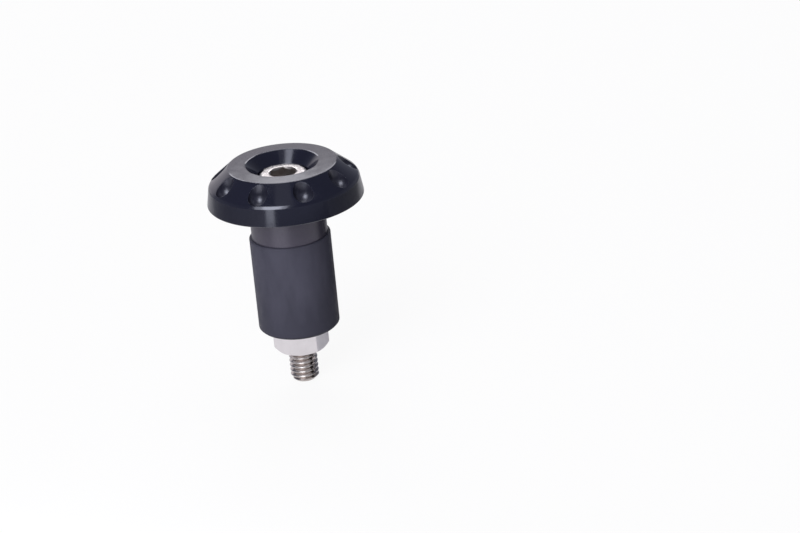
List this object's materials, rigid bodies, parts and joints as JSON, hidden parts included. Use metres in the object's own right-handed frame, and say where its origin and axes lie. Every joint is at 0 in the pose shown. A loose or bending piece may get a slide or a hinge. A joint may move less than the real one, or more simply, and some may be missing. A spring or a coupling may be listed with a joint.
{
  "type": "bar end weight",
  "caption": "Round turned cap with a dished face and a ring of drilled dimples, on a spigot and a rubber expander sleeve that a socket screw and nut clamp inside a handlebar tube.",
  "frame": {"origin": "on the axis, in the plane where the back of the cap meets the end of the bar", "axes": "+Z along the axis, out of the bar towards the cap's face; one dimple lies on +X"},
  "size_m": [0.032, 0.032, 0.048],
  "materials": {
    "black_anodised_aluminium": "gloss black anodised, finely turned",
    "grey_black_rubber": "smooth moulded, dull",
    "stainless_screw_steel": "bright, rolled thread",
    "bright_nut_steel": "bright, cold formed"
  },
  "bodies": {
    "cap": {"end_cap": "black_anodised_aluminium", "rubber_sleeve": "grey_black_rubber"},
    "screw": {"clamp_screw": "stainless_screw_steel"},
    "nut": {"clamp_nut": "bright_nut_steel"}
  },
  "joints": [
    {"name": "screw_turn", "type": "hinge", "parent": "cap", "child": "screw", "pos_m": [0, 0, 0], "axis": [0, 0, -1], "range_deg": [0, 1080]},
    {"name": "nut_draw", "type": "slide", "parent": "cap", "child": "nut", "axis": [0, 0, 1], "range_m": [0, 0.003], "deforming": ["rubber_sleeve"]}
  ],
  "couplings": [
    {"joint": "nut_draw", "follows": "screw_turn", "m_per_rad": 0.00015915}
  ]
}
